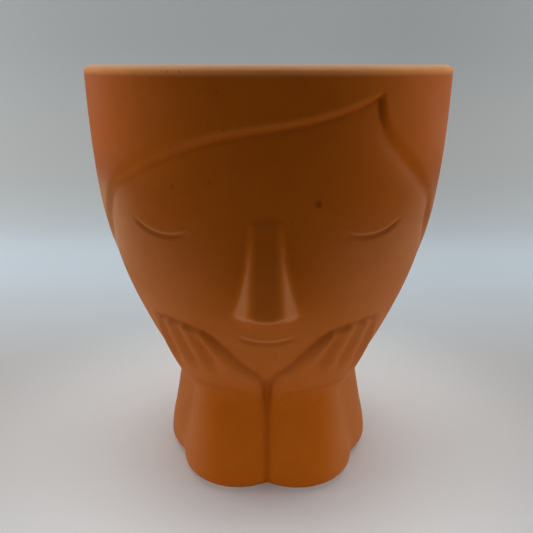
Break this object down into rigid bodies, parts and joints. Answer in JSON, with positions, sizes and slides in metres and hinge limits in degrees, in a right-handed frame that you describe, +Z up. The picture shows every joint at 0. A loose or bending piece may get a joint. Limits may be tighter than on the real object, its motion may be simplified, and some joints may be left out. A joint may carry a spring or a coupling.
{
  "type": "head planter",
  "caption": "Round-rimmed plant pot shaped as a calm head with closed eyes, side-parted hair and two hands holding its cheeks, standing on its forearms.",
  "frame": {"origin": "on the pot's upright axis at the level of the surface it stands on", "axes": "+Z up, the face looks along -Y, the hair parts on the +X side"},
  "size_m": [0.117, 0.117, 0.14],
  "materials": {
    "ceramic": "satin burnt-orange glaze",
    "plug_rubber": "moulded matte",
    "pad_rubber": "matte foam rubber"
  },
  "bodies": {
    "pot": {"pot_body": "ceramic", "foot_pad_front_left": "pad_rubber", "foot_pad_front_right": "pad_rubber", "foot_pad_rear_left": "pad_rubber", "foot_pad_rear_right": "pad_rubber"},
    "plug": {"drain_plug": "plug_rubber"}
  },
  "joints": [
    {"name": "plug_lift", "type": "slide", "parent": "pot", "child": "plug", "axis": [0, 0, 1], "range_m": [0, 0.15]}
  ]
}
